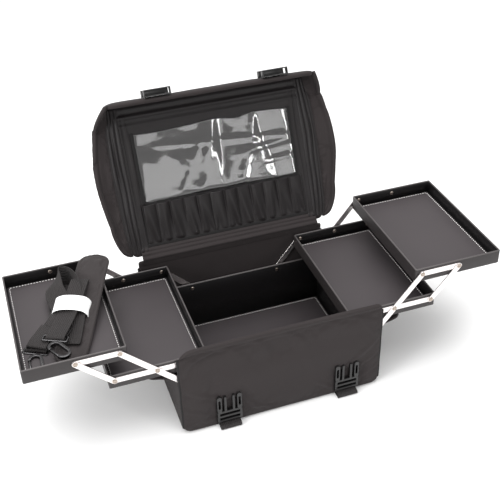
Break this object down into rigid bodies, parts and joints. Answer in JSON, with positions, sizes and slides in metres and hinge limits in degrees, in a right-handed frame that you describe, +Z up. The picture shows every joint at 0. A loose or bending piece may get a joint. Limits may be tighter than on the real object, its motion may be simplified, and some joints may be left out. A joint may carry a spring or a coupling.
{
  "type": "cosmetics train case",
  "caption": "Soft-sided train case standing open, with a padded hinged lid, cantilever trays on riveted arms, a deep inner box and a packed shoulder strap.",
  "frame": {"origin": "centre of the case footprint, on the surface it stands on", "axes": "+X to the user's right, +Y towards the lid hinge, +Z up"},
  "size_m": [0.8476, 0.4309, 0.4903],
  "materials": {
    "nylon_fabric": "woven nylon over foam and board",
    "lining_fabric": "smooth nylon lining",
    "binding_tape": "folded binding tape",
    "leatherette": "grained leatherette over board",
    "floor_lining": "soft charcoal leatherette",
    "aluminium_bar": "satin",
    "steel_rivet": "nickel plated",
    "webbing": "ribbed webbing",
    "buckle_plastic": "moulded",
    "clear_film": "clear flexible vinyl",
    "paper": "plain paper",
    "black_metal": "black plated"
  },
  "bodies": {
    "root": {"bottom_panel": "nylon_fabric", "front_panel": "nylon_fabric", "back_panel": "nylon_fabric", "edge_bindings": "binding_tape", "hinge_tape": "nylon_fabric", "inner_box_floor": "floor_lining", "inner_box_walls": "leatherette", "pivot_washers": "steel_rivet", "base_straps": "webbing", "left_end_wall": "nylon_fabric", "right_end_wall": "nylon_fabric", "left_male_buckle": "buckle_plastic", "right_male_buckle": "buckle_plastic", "left_base_rivets": "steel_rivet", "right_base_rivets": "steel_rivet"},
    "lid": {"lid_panel": "nylon_fabric", "lid_front_lip": "nylon_fabric", "lid_liner": "lining_fabric", "clear_pocket": "clear_film", "clear_pocket_binding": "binding_tape", "brush_slots": "lining_fabric", "lid_straps": "webbing", "left_female_buckle": "buckle_plastic", "right_female_buckle": "buckle_plastic"},
    "left_long_arms": {"left_long_arms": "aluminium_bar"},
    "left_lower_short_arms": {"left_lower_short_arms": "aluminium_bar"},
    "left_upper_short_arms": {"left_upper_short_arms": "aluminium_bar"},
    "left_lower_tray": {"left_lower_tray_floor": "floor_lining", "left_lower_tray_walls": "leatherette", "left_lower_tray_bars": "aluminium_bar", "left_lower_tray_rivets": "steel_rivet"},
    "left_upper_tray": {"left_upper_tray_floor": "floor_lining", "left_upper_tray_walls": "leatherette", "left_upper_tray_bars": "aluminium_bar", "left_upper_tray_rivets": "steel_rivet", "shoulder_pad": "nylon_fabric", "strap_webbing": "webbing", "strap_tails": "webbing", "paper_band": "paper", "strap_rings": "black_metal", "outer_snap_hook": "black_metal", "inner_snap_hook": "black_metal"},
    "left_lid_wing": {"left_lid_wing": "nylon_fabric"},
    "left_side_flap": {"left_side_flap": "nylon_fabric"},
    "right_long_arms": {"right_long_arms": "aluminium_bar"},
    "right_lower_short_arms": {"right_lower_short_arms": "aluminium_bar"},
    "right_upper_short_arms": {"right_upper_short_arms": "aluminium_bar"},
    "right_lower_tray": {"right_lower_tray_floor": "floor_lining", "right_lower_tray_walls": "leatherette", "right_lower_tray_bars": "aluminium_bar", "right_lower_tray_rivets": "steel_rivet"},
    "right_upper_tray": {"right_upper_tray_floor": "floor_lining", "right_upper_tray_walls": "leatherette", "right_upper_tray_bars": "aluminium_bar", "right_upper_tray_rivets": "steel_rivet"},
    "right_lid_wing": {"right_lid_wing": "nylon_fabric"},
    "right_side_flap": {"right_side_flap": "nylon_fabric"},
    "outer_hook_gate": {"outer_hook_gate": "black_metal"},
    "inner_hook_gate": {"inner_hook_gate": "black_metal"}
  },
  "joints": [
    {"name": "lid_hinge", "type": "hinge", "parent": "root", "child": "lid", "pos_m": [0, 0.1383, 0.188], "axis": [1, 0, 0], "range_deg": [0, 115.5]},
    {"name": "left_trays_swing", "type": "hinge", "parent": "root", "child": "left_long_arms", "pos_m": [-0.16161, 0, 0.10139], "axis": [0, 1, 0], "range_deg": [0, 115.1]},
    {"name": "left_lower_tray_pivot", "type": "hinge", "parent": "left_long_arms", "child": "left_lower_tray", "pos_m": [-0.21853, 0, 0.15617], "axis": [0, 1, 0], "range_deg": [-115.15, 0.05]},
    {"name": "left_upper_tray_pivot", "type": "hinge", "parent": "left_long_arms", "child": "left_upper_tray", "pos_m": [-0.27545, 0, 0.21095], "axis": [0, 1, 0], "range_deg": [-115.15, 0.05]},
    {"name": "left_lower_short_arm_pivot", "type": "hinge", "parent": "root", "child": "left_lower_short_arms", "pos_m": [-0.08785, 0, 0.10139], "axis": [0, 1, 0], "range_deg": [-0.05, 115.15]},
    {"name": "left_upper_short_arm_pivot", "type": "hinge", "parent": "left_lower_tray", "child": "left_upper_short_arms", "pos_m": [-0.29003, 0, 0.15617], "axis": [0, 1, 0], "range_deg": [-0.05, 115.15]},
    {"name": "left_side_flap_fold", "type": "hinge", "parent": "root", "child": "left_side_flap", "pos_m": [-0.187, 0, 0.1165], "axis": [0, 1, 0], "range_deg": [-0.05, 63.55]},
    {"name": "left_lid_wing_fold", "type": "hinge", "parent": "lid", "child": "left_lid_wing", "pos_m": [-0.1915, 0.14011, 0.18714], "axis": [0, 0.4305, 0.9026], "range_deg": [-0.05, 52.05]},
    {"name": "right_trays_swing", "type": "hinge", "parent": "root", "child": "right_long_arms", "pos_m": [0.16161, 0, 0.10139], "axis": [0, -1, 0], "range_deg": [-7, 108.1]},
    {"name": "right_lower_tray_pivot", "type": "hinge", "parent": "right_long_arms", "child": "right_lower_tray", "pos_m": [0.21143, 0, 0.1627], "axis": [0, -1, 0], "range_deg": [-108.15, 7.05]},
    {"name": "right_upper_tray_pivot", "type": "hinge", "parent": "right_long_arms", "child": "right_upper_tray", "pos_m": [0.26125, 0, 0.224], "axis": [0, -1, 0], "range_deg": [-108.15, 7.05]},
    {"name": "right_lower_short_arm_pivot", "type": "hinge", "parent": "root", "child": "right_lower_short_arms", "pos_m": [0.08785, 0, 0.10139], "axis": [0, -1, 0], "range_deg": [-7.05, 108.15]},
    {"name": "right_upper_short_arm_pivot", "type": "hinge", "parent": "right_lower_tray", "child": "right_upper_short_arms", "pos_m": [0.28293, 0, 0.1627], "axis": [0, -1, 0], "range_deg": [-7.05, 108.15]},
    {"name": "right_side_flap_fold", "type": "hinge", "parent": "root", "child": "right_side_flap", "pos_m": [0.187, 0, 0.1165], "axis": [0, -1, 0], "range_deg": [-4.16, 63.55]},
    {"name": "right_lid_wing_fold", "type": "hinge", "parent": "lid", "child": "right_lid_wing", "pos_m": [0.1915, 0.14011, 0.18714], "axis": [0, -0.4305, -0.9026], "range_deg": [-3.42, 52.05]},
    {"name": "outer_hook_gate_swing", "type": "hinge", "parent": "left_upper_tray", "child": "outer_hook_gate", "pos_m": [-0.41385, -0.09016, 0.20005], "axis": [0, 0, 1], "range_deg": [0, 25], "stiffness_Nm_per_rad": 0.01, "springref_deg": -11.46},
    {"name": "inner_hook_gate_swing", "type": "hinge", "parent": "left_upper_tray", "child": "inner_hook_gate", "pos_m": [-0.37743, -0.09826, 0.21975], "axis": [0, 0, 1], "range_deg": [0, 25], "stiffness_Nm_per_rad": 0.01, "springref_deg": -11.46}
  ],
  "couplings": [
    {"joint": "left_lower_tray_pivot", "follows": "left_trays_swing", "ratio": -1},
    {"joint": "left_upper_tray_pivot", "follows": "left_trays_swing", "ratio": -1},
    {"joint": "left_lower_short_arm_pivot", "follows": "left_trays_swing", "ratio": 1},
    {"joint": "left_upper_short_arm_pivot", "follows": "left_trays_swing", "ratio": 1},
    {"joint": "left_side_flap_fold", "follows": "left_trays_swing", "ratio": 0.55169},
    {"joint": "left_lid_wing_fold", "follows": "left_trays_swing", "ratio": 0.45178},
    {"joint": "right_lower_tray_pivot", "follows": "right_trays_swing", "ratio": -1},
    {"joint": "right_upper_tray_pivot", "follows": "right_trays_swing", "ratio": -1},
    {"joint": "right_lower_short_arm_pivot", "follows": "right_trays_swing", "ratio": 1},
    {"joint": "right_upper_short_arm_pivot", "follows": "right_trays_swing", "ratio": 1},
    {"joint": "right_side_flap_fold", "follows": "right_trays_swing", "ratio": 0.58742},
    {"joint": "right_lid_wing_fold", "follows": "right_trays_swing", "ratio": 0.48104}
  ]
}
